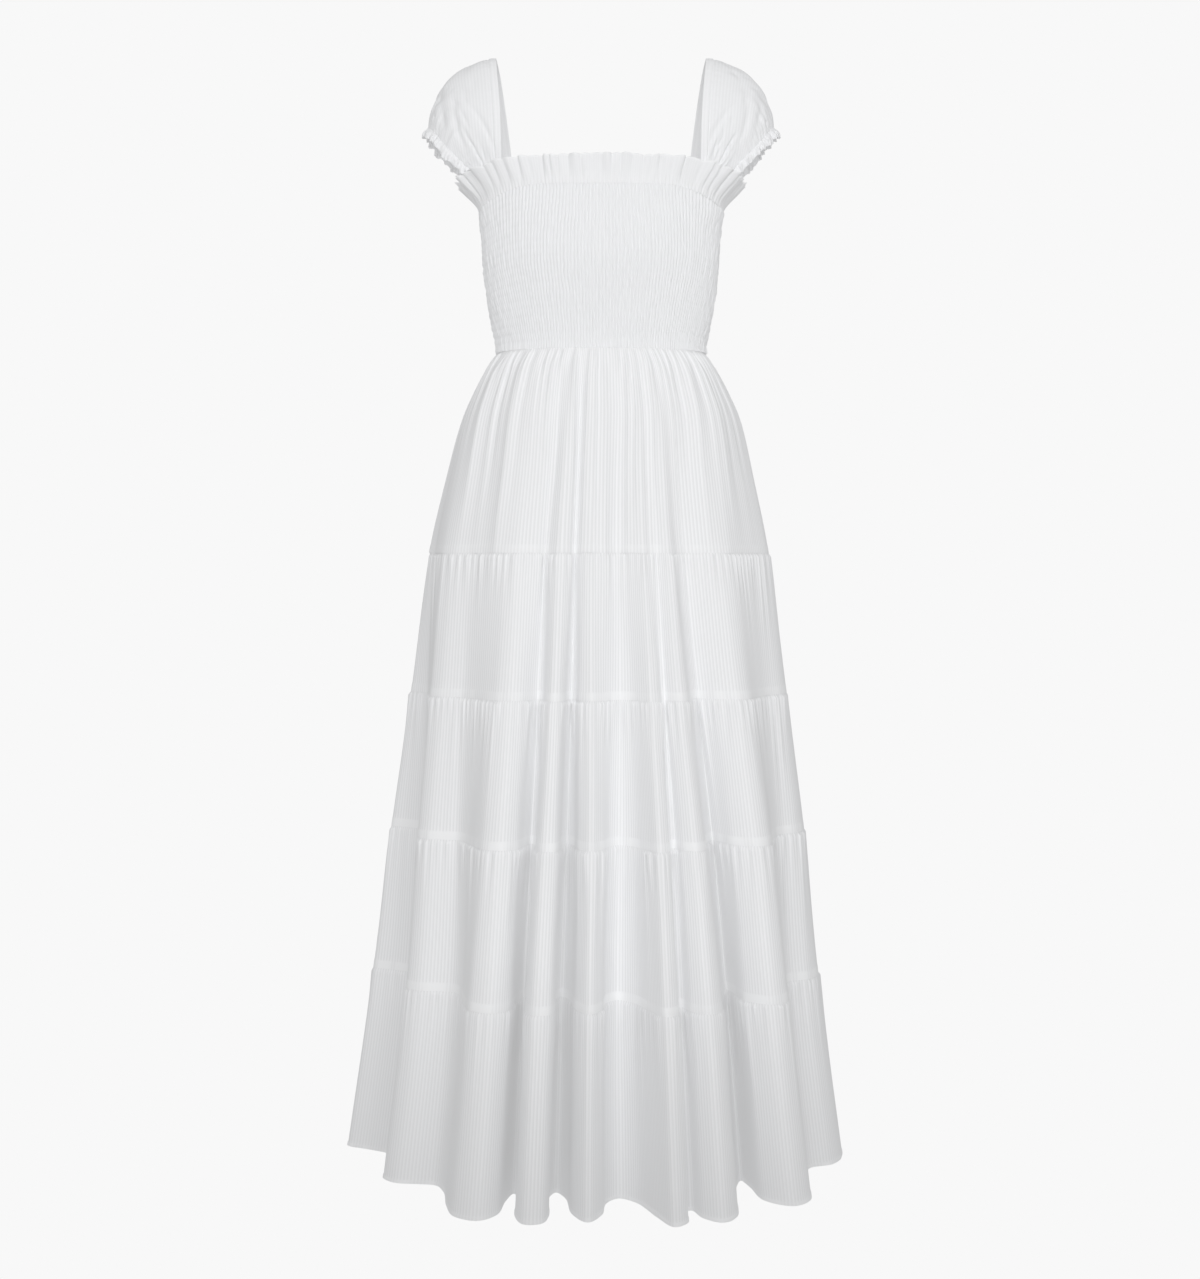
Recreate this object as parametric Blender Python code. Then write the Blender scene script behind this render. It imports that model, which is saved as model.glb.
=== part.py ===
"""Smocked maxi dress on its worn form: shirred bodice, ruffled square neck, cap sleeves, five tiers.

Metres, +Z up, the front faces -Y. The origin lies midway between the tops of the two shoulders.
Angles go round the body from 0 at centre front, through 90 at the +X side, to 180 at centre back.
"""
import bisect
import math
from collections import namedtuple

import bmesh
import bpy
from mathutils import Vector

COLLECTION = "smocked_dress"

SEAM_GAP = 0.0003
CLOTH = 0.0015
BODICE_CLOTH = 0.0020

NECK_Z = -0.169
UNDERARM_DIP = 0.023
DIP_START = 40.0
DIP_END = 84.0
WAIST_Z = -0.367

ELASTIC_ROWS = 20
FLUTES_A_HALF = 26
FLUTE_RELIEF = 0.0016
INNER_ROWS = 4

RUFFLE_HEIGHT = 0.036
RUFFLE_WAVE = 0.0042
RUFFLE_TOP_UNEVEN = 0.0030

SKIRT_COLUMNS = 62
HEM_STEPS = 24
WAIST_GATHER = 0.0042
SEAM_GATHER = 0.0026
SEAM_WAVES_A_HALF = 5
GATHER_STEEPNESS = 0.5

SLEEVE_COLUMNS = 30
SLEEVE_STRIPS = 7
SLEEVE_ROOT_DEPTH = 0.008
SLEEVE_ROOT_CLEARANCE = 0.0007
SLEEVE_FRONT_ROOT = (59.0, 76.0)
SLEEVE_BACK_ROOT = (122.0, 105.0)
FRILL_WIDTH = 0.013
FRILL_WAVE = 0.0030

# The torso and skirt seen from above at each height: half the width, the reach of the front and of
# the back, how far the middle lies to +X, the squareness of the curve, and how full the folds are.
Section = namedtuple("Section", "z half_width front back shift power folds")
SECTIONS = (
    Section(-0.150, 0.1500, 0.0960, 0.0930, 0.0000, 2.60, 0.00),
    Section(-0.190, 0.1500, 0.1000, 0.0950, 0.0000, 2.60, 0.00),
    Section(-0.225, 0.1460, 0.1060, 0.0970, 0.0000, 2.50, 0.00),
    Section(-0.260, 0.1440, 0.1080, 0.0980, 0.0000, 2.45, 0.00),
    Section(-0.300, 0.1395, 0.1020, 0.0950, 0.0000, 2.40, 0.00),
    Section(-0.335, 0.1330, 0.0970, 0.0910, 0.0000, 2.35, 0.00),
    Section(-0.367, 0.1290, 0.0950, 0.0880, 0.0000, 2.30, 0.00),
    Section(-0.388, 0.1420, 0.1040, 0.0970, 0.0000, 2.25, 0.01),
    Section(-0.413, 0.1560, 0.1110, 0.1060, 0.0000, 2.20, 0.02),
    Section(-0.450, 0.1730, 0.1190, 0.1170, 0.0000, 2.15, 0.04),
    Section(-0.513, 0.1900, 0.1270, 0.1280, -0.0015, 2.10, 0.08),
    Section(-0.616, 0.2130, 0.1420, 0.1470, -0.0035, 2.05, 0.14),
    Section(-0.790, 0.2360, 0.1740, 0.1800, -0.0040, 2.00, 0.34),
    Section(-0.961, 0.2590, 0.2140, 0.2160, -0.0055, 2.00, 0.62),
    Section(-1.142, 0.2790, 0.2530, 0.2520, -0.0080, 2.00, 0.88),
    Section(-1.370, 0.3106, 0.2840, 0.2850, -0.0095, 2.00, 1.00),
)

# The waist seam, the four seams between the tiers, and the hem.
SKIRT_SEAMS = (WAIST_Z, -0.616, -0.790, -0.961, -1.142, -1.370)

# Rings between a tier's seams: how far below its upper seam, and how full its gathers are there.
Ring = namedtuple("Ring", "drop fullness")
WAIST_RINGS = (Ring(0.016, 1.0), Ring(0.058, 0.55), Ring(0.138, 0.2))
TIER_RINGS = (Ring(0.018, 1.0),)

# The hem seen from above, from the left side seam round the front and back again: each bend of a
# fold by the points it passes, and the angle at which that bend hangs from the waist.
Bend = namedtuple("Bend", "name hang points")
BENDS = (
    Bend("left seam", -90.0, ((-0.252, 0.000),)),
    Bend("left side valley", -81.0, ((-0.243, -0.028), (-0.248, -0.062))),
    Bend("left recess", -66.0, ((-0.263, -0.090), (-0.247, -0.113), (-0.216, -0.119), (-0.197, -0.124))),
    Bend("left front wall", -52.0, ((-0.185, -0.152), (-0.178, -0.205))),
    Bend("left front", -39.0, ((-0.166, -0.246), (-0.140, -0.261), (-0.120, -0.240))),
    Bend("left front valley", -27.5, ((-0.112, -0.188), (-0.103, -0.157), (-0.094, -0.176))),
    Bend("left of centre", -19.5, ((-0.098, -0.240), (-0.086, -0.275), (-0.068, -0.272), (-0.060, -0.240))),
    Bend("left of centre valley", -12.0, ((-0.063, -0.180), (-0.053, -0.152), (-0.041, -0.176))),
    Bend("centre", -3.5, ((-0.032, -0.238), (-0.015, -0.267), (0.000, -0.240))),
    Bend("centre valley", 12.0, ((0.006, -0.194), (0.021, -0.176), (0.042, -0.194))),
    Bend("right of centre", 22.5, ((0.063, -0.245), (0.083, -0.284), (0.098, -0.266))),
    Bend("right of centre valley", 28.5, ((0.095, -0.230), (0.104, -0.222))),
    Bend("right front", 32.5, ((0.117, -0.252), (0.138, -0.268), (0.154, -0.246))),
    Bend("right front valley", 39.0, ((0.157, -0.155), (0.168, -0.104), (0.178, -0.132))),
    Bend("right recess", 55.0, ((0.191, -0.184), (0.222, -0.206), (0.243, -0.184))),
    Bend("right recess valley", 70.0, ((0.246, -0.096), (0.257, -0.050))),
    Bend("right side", 82.0, ((0.284, -0.036),)),
    Bend("right seam", 90.0, ((0.301, 0.000),)),
    Bend("right side, back", 94.0, ((0.298, 0.036),)),
    Bend("right side valley", 104.0, ((0.220, 0.050), (0.208, 0.071))),
    Bend("right back", 118.0, ((0.258, 0.120), (0.256, 0.147), (0.236, 0.170))),
    Bend("right back valley", 130.0, ((0.156, 0.130), (0.138, 0.150))),
    Bend("back, first", 140.0, ((0.172, 0.218), (0.166, 0.240), (0.144, 0.246))),
    Bend("back, first valley", 149.0, ((0.102, 0.196), (0.085, 0.204))),
    Bend("back, second", 160.0, ((0.090, 0.262), (0.074, 0.284), (0.052, 0.274))),
    Bend("back, second valley", 170.0, ((0.024, 0.190), (0.005, 0.190))),
    Bend("back, third", 183.0, ((-0.006, 0.276), (-0.028, 0.296), (-0.050, 0.280))),
    Bend("back, third valley", 194.0, ((-0.056, 0.228), (-0.072, 0.224))),
    Bend("back, fourth", 205.0, ((-0.096, 0.266), (-0.120, 0.270), (-0.138, 0.244))),
    Bend("back, fourth valley", 216.0, ((-0.112, 0.168), (-0.128, 0.154))),
    Bend("left back", 228.0, ((-0.196, 0.220), (-0.228, 0.210), (-0.238, 0.180))),
    Bend("left back valley", 239.0, ((-0.190, 0.122), (-0.202, 0.104))),
    Bend("left back side", 252.0, ((-0.272, 0.126), (-0.291, 0.106))),
    Bend("left back side valley", 260.0, ((-0.284, 0.084),)),
    Bend("left side", 265.0, ((-0.316, 0.070), (-0.322, 0.050), (-0.290, 0.030))),
    Bend("left seam again", 270.0, ((-0.252, 0.000),)),
)

# The right sleeve from its front root over the shoulder to its back root: the neck edge, the arm
# edge, and how roundly the cloth puffs between them (0 is a straight line, 1 a quarter ellipse).
Cap = namedtuple("Cap", "inner_x inner_y inner_z outer_x outer_y outer_z puff")
SLEEVE_CAPS = (
    Cap(0.1205, -0.0745, -0.1400, 0.1560, -0.0440, -0.1500, 0.15),
    Cap(0.1232, -0.0670, -0.0720, 0.1880, -0.0450, -0.1180, 0.85),
    Cap(0.1285, -0.0360, -0.0180, 0.2070, -0.0270, -0.0940, 1.00),
    Cap(0.1310, 0.0000, 0.0000, 0.2140, 0.0000, -0.0850, 1.00),
    Cap(0.1270, 0.0360, -0.0170, 0.2060, 0.0280, -0.0940, 1.00),
    Cap(0.1195, 0.0670, -0.0710, 0.1860, 0.0450, -0.1180, 0.85),
    Cap(0.1110, 0.0745, -0.1380, 0.1540, 0.0430, -0.1490, 0.15),
)

# How far the neck ruffle's top leans out, at angles from centre front or centre back to the side.
Lean = namedtuple("Lean", "angle out")
RUFFLE_LEAN = (
    Lean(0.0, 0.004),
    Lean(42.0, 0.006),
    Lean(60.0, 0.015),
    Lean(72.0, 0.023),
    Lean(90.0, 0.021),
)


def smooth(x):
    """Rises smoothly from 0 to 1 as x does."""
    x = min(1.0, max(0.0, x))
    return x * x * (3.0 - 2.0 * x)


def read(rows, key, at, column):
    """Reads a column of a table at a key between its rows, along a smooth curve."""
    keys = [getattr(row, key) for row in rows]
    values = [getattr(row, column) for row in rows]
    if keys[0] > keys[-1]:
        keys.reverse()
        values.reverse()
    return hermite(keys, values, at)


def hermite(keys, values, at):
    """A smooth curve through rising keys, whose slope at each key is that of its neighbours."""
    at = min(keys[-1], max(keys[0], at))
    last = len(keys) - 2
    i = 0
    while i < last and at > keys[i + 1]:
        i += 1

    def slope(k):
        low = max(0, k - 1)
        high = min(len(keys) - 1, k + 1)
        return (values[high] - values[low]) / (keys[high] - keys[low])

    span = keys[i + 1] - keys[i]
    t = (at - keys[i]) / span
    start = (1.0 + 2.0 * t) * (1.0 - t) ** 2 * values[i] + t * (1.0 - t) ** 2 * span * slope(i)
    end = t * t * (3.0 - 2.0 * t) * values[i + 1] - t * t * (1.0 - t) * span * slope(i + 1)
    return start + end


def plain_radius(angle, z):
    """The distance from the body's axis to its plain section, with no folds."""
    across = abs(math.sin(math.radians(angle)))
    along = math.cos(math.radians(angle))
    reach = read(SECTIONS, "z", z, "front" if along > 0 else "back")
    half_width = read(SECTIONS, "z", z, "half_width")
    power = read(SECTIONS, "z", z, "power")
    total = (across / half_width) ** power + (abs(along) / reach) ** power
    return total ** (-1.0 / power)


def around(angle, z, radius):
    """The point at an angle, height and distance from the body's axis."""
    shift = read(SECTIONS, "z", z, "shift")
    turn = math.radians(angle)
    return Vector((shift + radius * math.sin(turn), -radius * math.cos(turn), z))


def rounded_line(points, steps):
    """A smooth closed line in plan through points, in steps between each two of them."""
    loop = [Vector(point) for point in (points[-2], *points, points[1])]
    line = []
    for i in range(1, len(loop) - 2):
        p = loop[i - 1:i + 3]
        k = [0.0]
        for near, far in zip(p, p[1:]):
            k.append(k[-1] + math.sqrt((far - near).length))
        for step in range(steps):
            t = k[1] + (k[2] - k[1]) * step / steps
            a = [p[j].lerp(p[j + 1], (t - k[j]) / (k[j + 1] - k[j])) for j in range(3)]
            b = [a[j].lerp(a[j + 1], (t - k[j]) / (k[j + 2] - k[j])) for j in range(2)]
            line.append(b[0].lerp(b[1], (t - k[1]) / (k[2] - k[1])))
    line.append(loop[-2])
    return line


HEM_LINE = rounded_line([point for bend in BENDS for point in bend.points], HEM_STEPS)


def runs_along(line):
    """How far along a line each of its points lies."""
    runs = [0.0]
    for near, far in zip(line, line[1:]):
        runs.append(runs[-1] + (far - near).length)
    return runs


def bend_runs():
    """How far along the hem the middle of each bend lies."""
    runs = []
    passed = 0
    for bend in BENDS:
        runs.append(HEM_RUNS[int((passed + (len(bend.points) - 1) / 2.0) * HEM_STEPS)])
        passed += len(bend.points)
    return runs


HEM_RUNS = runs_along(HEM_LINE)
BEND_RUNS = bend_runs()
BEND_HANGS = [bend.hang for bend in BENDS]
SEAM_RUN = dict((bend.name, run) for bend, run in zip(BENDS, BEND_RUNS))


def hang_angle(run):
    """The angle at which the cloth at a place along the hem hangs from the waist."""
    return hermite(BEND_RUNS, BEND_HANGS, run)


def hem_point(run):
    """The hem's place in plan, at a distance along it."""
    after = min(len(HEM_RUNS) - 1, max(1, bisect.bisect_left(HEM_RUNS, run)))
    share = (run - HEM_RUNS[after - 1]) / (HEM_RUNS[after] - HEM_RUNS[after - 1])
    return HEM_LINE[after - 1].lerp(HEM_LINE[after], share)


def skirt_point(run, z):
    """A point of the skirt's outer face, folds and all, with no gathers, at a place along the hem."""
    fullness = read(SECTIONS, "z", z, "folds")
    hem_z = SECTIONS[-1].z
    hang = hang_angle(run)
    plain_hem = around(hang, hem_z, plain_radius(hang, hem_z))
    point = around(hang, z, plain_radius(hang, z))
    folded = hem_point(run).to_3d()
    folded.z = hem_z
    return point + (folded - plain_hem) * fullness


def spread_columns(start, end, count):
    """Places along the hem of a skirt panel's columns, closer together where it bends."""
    steps = 1800
    by_angle = 1.0 / 9.0
    by_length = 1.0 / 0.11
    by_turn = 1.0 / math.radians(30.0)
    runs = [start + (end - start) * k / steps for k in range(steps + 1)]
    points = [skirt_point(run, SECTIONS[-1].z) for run in runs]
    cost = [0.0]
    for k in range(1, steps + 1):
        step = points[k] - points[k - 1]
        turn = step.angle(points[k + 1] - points[k]) if k < steps else 0.0
        spend = (hang_angle(runs[k]) - hang_angle(runs[k - 1])) * by_angle
        cost.append(cost[-1] + spend + step.length * by_length + turn * by_turn)
    chosen = []
    k = 0
    for i in range(count + 1):
        target = cost[-1] * i / count
        while k < steps and cost[k] < target:
            k += 1
        chosen.append(runs[k])
    return chosen


def flat_normals(ring):
    """Outward directions in plan at a ring's points, longer at corners so the wall stays even."""
    normals = []
    last = len(ring) - 1
    for i, point in enumerate(ring):
        before = (point - ring[max(0, i - 1)]).to_2d()
        after = (ring[min(last, i + 1)] - point).to_2d()
        if i in (0, last):
            side = 1.0 if point.x > 0 else -1.0
            normals.append(Vector((side, 0.0, 0.0)))
            continue
        along = (before.normalized() + after.normalized()).normalized()
        corner = max(0.6, along.dot(after.normalized()))
        normals.append(Vector((along.y, -along.x, 0.0)) / corner)
    return normals


def inner_ring(ring, thickness):
    """The ring of the wall's inner face, at the same heights as the outer ring."""
    return [point - normal * thickness for point, normal in zip(ring, flat_normals(ring))]


def part_at_sides(grid, toward_front):
    """Moves a panel's first and last columns off the side seam by half the seam gap."""
    for ring in grid:
        for column in (0, -1):
            ring[column].y = -SEAM_GAP / 2 if toward_front else SEAM_GAP / 2
    return grid


def stitch(bm, first, second):
    """Fills the strip between two rows of vertices, which may differ in number."""
    i = 0
    j = 0
    while i < len(first) - 1 or j < len(second) - 1:
        ahead_first = (i + 1) / (len(first) - 1)
        ahead_second = (j + 1) / (len(second) - 1)
        step_first = j == len(second) - 1
        if i < len(first) - 1 and j < len(second) - 1:
            step_first = ahead_first <= ahead_second
        if step_first:
            bm.faces.new((first[i], first[i + 1], second[j]))
            i += 1
        else:
            bm.faces.new((first[i], second[j + 1], second[j]))
            j += 1


def wall(name, outer, inner, finish):
    """A closed cloth wall between an outer and an inner grid of points."""
    bm = bmesh.new()
    faces = []
    for grid in (outer, inner):
        rows = [[bm.verts.new(point) for point in ring] for ring in grid]
        for upper, lower in zip(rows, rows[1:]):
            stitch(bm, upper, lower)
        faces.append(rows)
    out, inn = faces
    stitch(bm, out[0], inn[0])
    stitch(bm, out[-1], inn[-1])
    for column in (0, -1):
        stitch(bm, [row[column] for row in out], [row[column] for row in inn])
    bmesh.ops.recalc_face_normals(bm, faces=bm.faces)
    mesh = bpy.data.meshes.new(name)
    bm.to_mesh(mesh)
    bm.free()
    mesh.shade_smooth()
    mesh.set_sharp_from_angle(angle=math.radians(35.0))
    mesh.materials.append(finish)
    piece = bpy.data.objects.new(name, mesh)
    bpy.data.collections[COLLECTION].objects.link(piece)
    return piece


def cloth_material(name, colour, roughness):
    """White cotton, a little different for each sort of piece."""
    material = bpy.data.materials.new(name)
    material.use_nodes = True
    shader = material.node_tree.nodes["Principled BSDF"]
    shader.inputs["Base Color"].default_value = (*colour, 1.0)
    shader.inputs["Roughness"].default_value = roughness
    shader.inputs["Metallic"].default_value = 0.0
    material.diffuse_color = (*colour, 1.0)
    return material


def neck_edge_z(angle):
    """The height of the bodice's top edge, which dips under each arm."""
    off_middle = abs((angle + 90.0) % 180.0 - 90.0)
    return NECK_Z - UNDERARM_DIP * smooth((off_middle - DIP_START) / (DIP_END - DIP_START))


def bodice_angles(start, count):
    return [start + 180.0 * i / count for i in range(count + 1)]


def bodice_half(name, start, toward_front, finish):
    """Half the shirred tube: elastic rows draw the flutes in, row by row, over a plain inside."""
    columns = FLUTES_A_HALF * 2
    outer = []
    for row in range(ELASTIC_ROWS + 1):
        ring = []
        for i, angle in enumerate(bodice_angles(start, columns)):
            z = neck_edge_z(angle) + (WAIST_Z + SEAM_GAP - neck_edge_z(angle)) * row / ELASTIC_ROWS
            raised = FLUTE_RELIEF if (i + row) % 2 and 0 < i < columns else 0.0
            ring.append(around(angle, z, plain_radius(angle, z) + raised))
        outer.append(ring)
    inner = []
    for row in range(INNER_ROWS + 1):
        ring = []
        for angle in bodice_angles(start, columns):
            z = neck_edge_z(angle) + (WAIST_Z + SEAM_GAP - neck_edge_z(angle)) * row / INNER_ROWS
            ring.append(around(angle, z, plain_radius(angle, z) - BODICE_CLOTH))
        inner.append(ring)
    part_at_sides(outer, toward_front)
    part_at_sides(inner, toward_front)
    return wall(name, outer, inner, finish)


def ruffle_lean(angle):
    off_middle = abs((angle + 90.0) % 180.0 - 90.0)
    return read(RUFFLE_LEAN, "angle", off_middle, "out")


def neck_ruffle_half(name, start, toward_front, finish):
    """The frill above the top elastic row: plain at its root, fluted and leaning out at its top."""
    columns = FLUTES_A_HALF * 2
    outer = []
    inner = []
    for height, wave, lean in ((1.0, 1.0, 1.0), (0.35, 0.8, 0.30), (0.0, 0.0, 0.0)):
        out_ring = []
        in_ring = []
        for i, angle in enumerate(bodice_angles(start, columns)):
            root_z = neck_edge_z(angle) + SEAM_GAP
            uneven = RUFFLE_TOP_UNEVEN * math.sin(i * 2.1) * (1.0 if i % 2 else 0.0)
            z = root_z + height * (RUFFLE_HEIGHT + uneven)
            crest = RUFFLE_WAVE * wave if i % 2 and 0 < i < columns else 0.0
            out = lean * ruffle_lean(angle) + crest
            radius = plain_radius(angle, root_z) + out
            for ring, inset in ((out_ring, 0.0), (in_ring, CLOTH)):
                point = around(angle, root_z, radius - inset)
                point.z = z
                ring.append(point)
        outer.append(out_ring)
        inner.append(in_ring)
    part_at_sides(outer, toward_front)
    part_at_sides(inner, toward_front)
    return wall(name, outer, inner, finish)


def tier_half(name, number, toward_front, finish):
    """Half a tier of the skirt, gathered under its upper seam."""
    halfway = SEAM_RUN["right seam"]
    first, last = (0.0, halfway) if toward_front else (halfway, HEM_RUNS[-1])
    runs = spread_columns(first, last, SKIRT_COLUMNS)
    top = SKIRT_SEAMS[number - 1]
    foot = SKIRT_SEAMS[number]
    heights = [(top - SEAM_GAP / 2, 0.0)]
    for ring in WAIST_RINGS if number == 1 else TIER_RINGS:
        heights.append((top - ring.drop, ring.fullness))
    heights.append((foot if number == len(SKIRT_SEAMS) - 1 else foot + SEAM_GAP / 2, 0.0))
    outer = []
    for z, fullness in heights:
        plain = [skirt_point(run, z) for run in runs]
        outer.append(gathered(plain, fullness, number == 1))
    inner = [inner_ring(ring, CLOTH) for ring in outer]
    part_at_sides(outer, toward_front)
    part_at_sides(inner, toward_front)
    return wall(name, outer, inner, finish)


def gathered(ring, fullness, at_waist):
    """Lifts the crests of the gathers on a ring: many small ones at the waist, fewer at the seams."""
    last = len(ring) - 1
    lifted = [ring[0]]
    normals = flat_normals(ring)
    for i in range(1, last):
        spacing = min((ring[i] - ring[i - 1]).length, (ring[i + 1] - ring[i]).length)
        if at_waist:
            lift = min(WAIST_GATHER, spacing * GATHER_STEEPNESS) * (i % 2)
        else:
            phase = 2.0 * math.pi * SEAM_WAVES_A_HALF * i / last
            lift = min(SEAM_GATHER, spacing * GATHER_STEEPNESS) * (1.0 - math.cos(phase)) / 2.0
        lifted.append(ring[i] + normals[i].normalized() * lift * fullness)
    lifted.append(ring[last])
    return lifted


def sleeve_root(angle, z, deeper):
    """A point just inside the bodice's inner face, where a sleeve's end is sewn in."""
    inset = BODICE_CLOTH + SLEEVE_ROOT_CLEARANCE + deeper
    return around(angle, z, plain_radius(angle, z) - inset)


def cap_value(t, column):
    """A column of the sleeve's table, with t running from 0 at its first row to 1 at its last."""
    keys = [i / (len(SLEEVE_CAPS) - 1) for i in range(len(SLEEVE_CAPS))]
    return hermite(keys, [getattr(cap, column) for cap in SLEEVE_CAPS], t)


def cap_point(t, across):
    """A point of the free sleeve: t from front to back, across from the neck edge to the arm edge."""
    inner = Vector([cap_value(t, c) for c in ("inner_x", "inner_y", "inner_z")])
    outer = Vector([cap_value(t, c) for c in ("outer_x", "outer_y", "outer_z")])
    puff = cap_value(t, "puff")
    turn = across * math.pi / 2
    rounded = Vector((
        inner.x + (outer.x - inner.x) * math.sin(turn),
        outer.y + (inner.y - outer.y) * math.cos(turn),
        outer.z + (inner.z - outer.z) * math.cos(turn),
    ))
    return inner.lerp(outer, across).lerp(rounded, puff)


def root_ring(root, deeper, lift):
    """The sleeve's end along the bodice, from the neck edge to the arm edge."""
    ring = []
    for k in range(SLEEVE_STRIPS + 1):
        angle = root[0] + (root[1] - root[0]) * k / SLEEVE_STRIPS
        z = neck_edge_z(angle) + lift
        ring.append(sleeve_root(angle, z, deeper))
    return ring


def sleeve_grid(deeper):
    """Stations over the shoulder. The two at each end lie inside the bodice's top edge."""
    inside = SLEEVE_COLUMNS - 4
    stations = [root_ring(SLEEVE_FRONT_ROOT, deeper, -SLEEVE_ROOT_DEPTH)]
    stations.append(root_ring(SLEEVE_FRONT_ROOT, deeper, SLEEVE_ROOT_DEPTH / 2))
    for i in range(inside + 1):
        t = i / inside
        stations.append([cap_point(t, k / SLEEVE_STRIPS) for k in range(SLEEVE_STRIPS + 1)])
    stations.append(root_ring(SLEEVE_BACK_ROOT, deeper, SLEEVE_ROOT_DEPTH / 2))
    stations.append(root_ring(SLEEVE_BACK_ROOT, deeper, -SLEEVE_ROOT_DEPTH))
    return stations


def grid_normals(grid):
    """The outward normal at each point of an open grid."""
    normals = []
    for i, ring in enumerate(grid):
        row = []
        for k, point in enumerate(ring):
            along = grid[min(len(grid) - 1, i + 1)][k] - grid[max(0, i - 1)][k]
            across = ring[min(len(ring) - 1, k + 1)] - ring[max(0, k - 1)]
            row.append(along.cross(across).normalized() * -1.0)
        normals.append(row)
    return normals


def sleeve_faces():
    """The sleeve's outer and inner grids. Its ends keep the bodice's curve on both faces."""
    outer = sleeve_grid(0.0)
    normals = grid_normals(outer)
    inner = [[p - n * CLOTH for p, n in zip(ring, row)] for ring, row in zip(outer, normals)]
    deep = sleeve_grid(CLOTH)
    for i in (0, 1, -2, -1):
        inner[i] = deep[i]
    return outer, inner


def frill_grids(outer, inner):
    """The frill that stands out from the sleeve's arm edge, wave by wave."""
    stations = range(3, len(outer) - 3)
    out_rows = []
    in_rows = []
    for width, wave in ((0.0, 0.0), (0.4, 0.6), (1.0, 1.0)):
        out_row = []
        in_row = []
        for n, i in enumerate(stations):
            edge = outer[i][-1]
            within = inner[i][-1]
            middle = Vector((0.06, 0.0, edge.z))
            away = (edge - middle)
            away.z = 0.0
            away.normalize()
            drop = Vector((0.0, 0.0, -SEAM_GAP))
            reach = (away * 0.62 + Vector((0.0, 0.0, -0.78))) * FRILL_WIDTH * width
            lift = away * FRILL_WAVE * wave * (n % 2)
            out_row.append(edge + drop + reach + lift)
            in_row.append(within + drop + reach + lift)
        out_rows.append(out_row)
        in_rows.append(in_row)
    return out_rows, in_rows


def mirrored(grid):
    return [[Vector((-p.x, p.y, p.z)) for p in ring] for ring in grid]


def build_sleeves(sleeve_finish, frill_finish):
    outer, inner = sleeve_faces()
    frill_outer, frill_inner = frill_grids(outer, inner)
    wall("sleeve_right", outer, inner, sleeve_finish)
    wall("sleeve_left", mirrored(outer), mirrored(inner), sleeve_finish)
    wall("sleeve_ruffle_right", frill_outer, frill_inner, frill_finish)
    wall("sleeve_ruffle_left", mirrored(frill_outer), mirrored(frill_inner), frill_finish)


def build_dress():
    shirred = cloth_material("shirred_cotton", (0.86, 0.87, 0.88), 0.85)
    ruffled = cloth_material("ruffle_cotton", (0.88, 0.89, 0.90), 0.85)
    striped = cloth_material("striped_cotton", (0.84, 0.85, 0.86), 0.85)
    for side, start, toward_front in (("front", -90.0, True), ("back", 90.0, False)):
        bodice_half(f"bodice_{side}", start, toward_front, shirred)
        neck_ruffle_half(f"neck_ruffle_{side}", start, toward_front, ruffled)
        for number in range(1, len(SKIRT_SEAMS)):
            tier_half(f"tier_{number}_{side}", number, toward_front, striped)
    build_sleeves(striped, ruffled)


def clear_scene():
    for item in list(bpy.data.objects):
        bpy.data.objects.remove(item, do_unlink=True)


clear_scene()
bpy.context.scene.collection.children.link(bpy.data.collections.new(COLLECTION))
build_dress()
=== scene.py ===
"""The looks of the smocked dress: every cloth piece as a thin shell on its solid's form."""
import math
from collections import namedtuple

import bpy
import numpy as np
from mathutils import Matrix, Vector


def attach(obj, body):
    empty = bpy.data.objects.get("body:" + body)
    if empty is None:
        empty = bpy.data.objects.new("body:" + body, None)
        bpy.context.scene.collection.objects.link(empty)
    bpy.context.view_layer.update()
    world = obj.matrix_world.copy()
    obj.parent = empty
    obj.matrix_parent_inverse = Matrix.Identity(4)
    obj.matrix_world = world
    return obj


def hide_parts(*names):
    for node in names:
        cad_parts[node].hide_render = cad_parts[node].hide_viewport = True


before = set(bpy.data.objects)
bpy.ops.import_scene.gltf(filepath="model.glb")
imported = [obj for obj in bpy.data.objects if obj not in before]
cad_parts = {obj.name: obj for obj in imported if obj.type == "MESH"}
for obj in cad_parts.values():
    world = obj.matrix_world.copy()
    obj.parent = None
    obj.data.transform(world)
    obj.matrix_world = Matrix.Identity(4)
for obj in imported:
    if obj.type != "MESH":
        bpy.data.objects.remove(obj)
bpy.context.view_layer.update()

BODY = "root"

# Heights of the seams in metres, and how the neck edge dips under the arms, in degrees.
NECK_Z = -0.169
UNDERARM_DIP = 0.023
DIP_START = 40.0
DIP_END = 84.0
WAIST_Z = -0.367
SKIRT_SEAMS = (WAIST_Z, -0.616, -0.790, -0.961, -1.142, -1.370)

# Seams, hem and cloth, in metres; how brightly each tier's doubled seam shows.
SEAM_LAP = 0.0012
SEAM_ALLOWANCE = 0.010
SEAM_RISE = 0.0004
BAND_SHINE = (0.40, 0.65, 0.95, 1.00, 1.00)
HEM_ROLL = 0.0042
CLOTH_EDGE = 0.0006
STRIPE_PITCH = 0.0043

# The shirred bodice: its flutes and how far they rise, lean and differ.
ELASTIC_ROWS = 20
FLUTES_A_HALF = 98
FLUTE_STEPS = 6
ROW_STEPS = 6
FLUTE_RELIEF = 0.0022
FLUTE_LEAN = 0.24
FLUTE_MEAN = 0.40
FLUTE_SIZES = (0.40, 1.0)
FLUTE_PITCH = 0.0043
SIDE_SPREAD = 0.060
SIDE_DEEPER = 1.1
LEAN_SPREAD = 0.075
CHEST_Z = -0.26

RUFFLE_HEIGHT = 0.036
RUFFLE_WAVES_A_HALF = 34
RUFFLE_WAVE = 0.0050
RUFFLE_ROOT_FADE = 0.010
RUFFLE_HEM = 0.0030

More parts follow.
